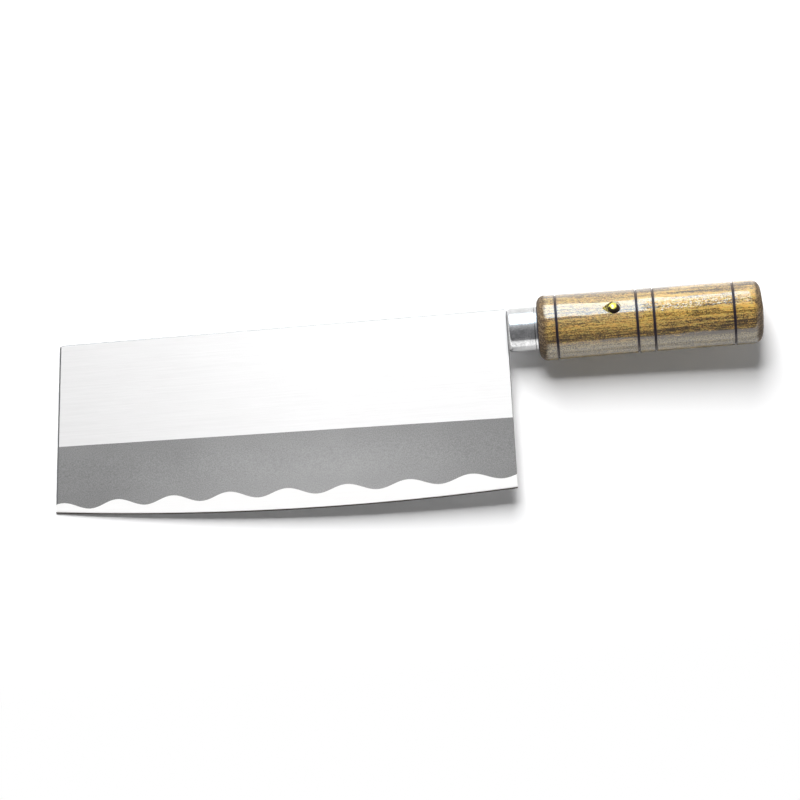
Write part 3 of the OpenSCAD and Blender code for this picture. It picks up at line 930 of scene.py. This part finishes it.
def white_table():
    mesh = bpy.data.meshes.new("white_table")
    signs = [(-1, -1), (1, -1), (1, 1), (-1, 1)]
    mesh.from_pydata([(FLOOR_HALF * x, FLOOR_HALF * y, 0) for x, y in signs], [], [(0, 1, 2, 3)])
    mesh.materials.append(paper_material())
    table = bpy.data.objects.new("white_table", mesh)
    bpy.context.scene.collection.objects.link(table)
    print(f"{table.name}: {2 * FLOOR_HALF:.0f} m wide")
    return table


table = white_table()

# %% [markdown]
# Polished pieces mirror a room that is white near the horizon and dark overhead, where the camera and
# the ceiling are, and lighter towards the lamps. Mirrored, it is twice as bright as it is for the
# camera. Lit surfaces see another room: bright near the horizon and almost dark from 30 degrees
# upwards, so that the shadows keep their depth while the sides still get light. Generated coordinates
# on the world are the direction of the ray.

# %% The surroundings
CEILING = (0.16, 0.16, 0.165, 1), (0.58, 0.58, 0.59, 1)
FILL_LIGHT = grey(0.95), grey(0.1)


def surroundings():
    world = bpy.data.worlds.new("studio")
    world.use_nodes = True
    world.node_tree.nodes.clear()
    tree = Field(world.node_tree)
    y, height = tree.node("ShaderNodeTexCoord", output="Generated").split()[1:]
    sky = height.step(0.42, 0.54).mix(WHITE, y.step(-0.2, 0.7).mix(*CEILING))
    fill = height.step(0.25, 0.5).mix(*FILL_LIGHT)
    mirrored = ray_is(tree, "Glossy")
    seen = mirrored.most(ray_is(tree, "Camera")).mix(fill, sky)
    light = tree.node("ShaderNodeBackground", None, {"Color": seen, "Strength": mirrored + 1})
    tree.node("ShaderNodeOutputWorld", None, {"Surface": light})
    return world


bpy.context.scene.world = surroundings()
print("world:", len(bpy.context.scene.world.node_tree.nodes), "nodes")

# %% [markdown]
# Two lamps share one patch of the sky beyond the spine and make the shadow in front of the edge: a
# strong narrow one high up, which gives the shadow its dark heart, and a weaker tall one below it, which
# softens its border. They stand a little over a metre away. They are left out of reflections, where the
# lit screen of the next step stands for them. Angles are in degrees, counted from straight up.

# %% Lamps
LAMP_DISTANCE = 1.2
LAMP_WIDTH = 38
LAMP_SIDEWAYS = -2
LAMP_TOP = 24
CORE_FOOT = 28.5
LAMP_FOOT = 55
CORE_RADIANCE = 42
SOFT_RADIANCE = 16.5


def panel(name, highest, lowest, radiance):
    """A flat lamp that fills a patch of the sky, between two angles in degrees from straight up."""
    middle = math.radians((highest + lowest) / 2)
    across = math.radians(LAMP_SIDEWAYS)
    level = math.sin(middle)
    away = np.array([level * math.sin(across), level * math.cos(across), math.cos(middle)])
    tall = 2 * math.tan(math.radians(lowest - highest) / 2) * LAMP_DISTANCE
    wide = 2 * math.tan(math.radians(LAMP_WIDTH) / 2) * LAMP_DISTANCE * level
    lamp = bpy.data.lights.new(name, "AREA")
    lamp.shape = "RECTANGLE"
    lamp.size, lamp.size_y = wide, tall
    lamp.energy = radiance * math.pi * wide * tall
    holder = bpy.data.objects.new(name, lamp)
    holder.location = away * LAMP_DISTANCE
    holder.rotation_euler = holder.location.to_track_quat("Z", "Y").to_euler()
    holder.visible_camera = False
    holder.visible_glossy = False
    bpy.context.scene.collection.objects.link(holder)
    print(f"{name}: {wide:.2f} by {tall:.2f} m, {lamp.energy:.0f} W")


panel("lamp_core", LAMP_TOP, CORE_FOOT, CORE_RADIANCE)
panel("soft_lamp", CORE_FOOT, LAMP_FOOT, SOFT_RADIANCE)

# %% [markdown]
# Lacquer and steel mirror a large lit screen, eight metres from the knife beyond its spine. It makes the
# long highlight on the handle and the white band on the ferrule. It is only mirrored: it lights no matt
# surface and throws no shadow, so its shape can follow the highlight alone. The right end slants, which
# narrows the highlight towards the butt, and right of the middle its foot is raised, which lowers the
# highlight's upper border behind the pair of grooves. Whether the room or the handle does that on the
# real object, the photograph doesn't tell.

# %% The lit screen
SCREEN_DISTANCE = 8
SCREEN_TOP = 33
SCREEN_FOOT = 93
SCREEN_LEFT = -24
SCREEN_RIGHT = 3.4
SLANT_FOOT = 75
SLANT_HEIGHT = 44.4
SLANT = 3.2
FOOT_CUT = 12
CUT_ASIDE = 0.2, 0.8
CUT_DOWN = 60, 93
SCREEN_LIGHT = (0.66, 0.84, 1, 1)
SCREEN_STRENGTH = 9.0


def screen_points(rows, columns):
    """Points on a sphere, by angles in degrees: down from straight up, and aside from the table's y axis.

    Above SLANT_FOOT, the right end moves in by SLANT times (its height above that / SLANT_HEIGHT)^1.3.
    Right of the middle, smooth steps raise the foot by FOOT_CUT.
    """
    levels = np.linspace(SCREEN_TOP, SCREEN_FOOT, rows)
    down, share = np.meshgrid(levels, np.linspace(0, 1, columns), indexing="ij")
    right = SCREEN_RIGHT - SLANT * (np.clip(SLANT_FOOT - down, 0, None) / SLANT_HEIGHT) ** 1.3
    aside = SCREEN_LEFT + (right - SCREEN_LEFT) * share
    raised = FOOT_CUT * smooth_step(aside, *CUT_ASIDE) * smooth_step(down, *CUT_DOWN)
    down, aside = np.radians(down - raised), np.radians(aside)
    return np.stack([np.sin(aside), np.cos(aside) * np.sin(down), np.cos(aside) * np.cos(down)], axis=-1)


def white_screen(rows=61, columns=41):
    first = np.arange(rows - 1)[:, None] * columns + np.arange(columns - 1)
    faces = np.stack([first, first + 1, first + columns + 1, first + columns], axis=-1).reshape(-1, 4)
    points = screen_points(rows, columns) * SCREEN_DISTANCE
    mesh = bpy.data.meshes.new("white_screen")
    mesh.from_pydata(points.reshape(-1, 3).tolist(), [], faces.tolist())
    material = bpy.data.materials.new("lit screen")
    material.use_nodes = True
    material.node_tree.nodes.clear()
    tree = Field(material.node_tree)
    sockets = {"Color": SCREEN_LIGHT, "Strength": SCREEN_STRENGTH}
    light = tree.node("ShaderNodeEmission", None, sockets)
    tree.node("ShaderNodeOutputMaterial", None, {"Surface": light})
    mesh.materials.append(material)
    screen = bpy.data.objects.new("white_screen", mesh)
    bpy.context.scene.collection.objects.link(screen)
    screen.visible_camera = False
    screen.visible_diffuse = False
    screen.visible_transmission = False
    screen.visible_shadow = False
    print(f"{screen.name}: {len(faces)} faces")
    return screen


white_screen()

# %% [markdown]
# The photograph looks straight down through a long lens, from about a metre and a half. The knife lies
# slightly turned in the picture, so the camera is turned the other way.

# %% Camera
CAMERA_PLACE = (-0.00305, 0.00207, 1.53825)
CAMERA_TURN = math.radians(-4.393)
FOCAL_LENGTH = 144
SENSOR_WIDTH = 36

lens = bpy.data.cameras.new("camera")
lens.lens = FOCAL_LENGTH
lens.sensor_width = SENSOR_WIDTH
camera = bpy.data.objects.new("camera", lens)
camera.location = CAMERA_PLACE
camera.rotation_euler = (0, 0, CAMERA_TURN)
bpy.context.scene.collection.objects.link(camera)
bpy.context.scene.camera = camera
bpy.context.scene.view_settings.view_transform = "Standard"
print(f"camera: {CAMERA_PLACE[2]:.2f} m above the table, {math.degrees(lens.angle):.1f} degrees wide")
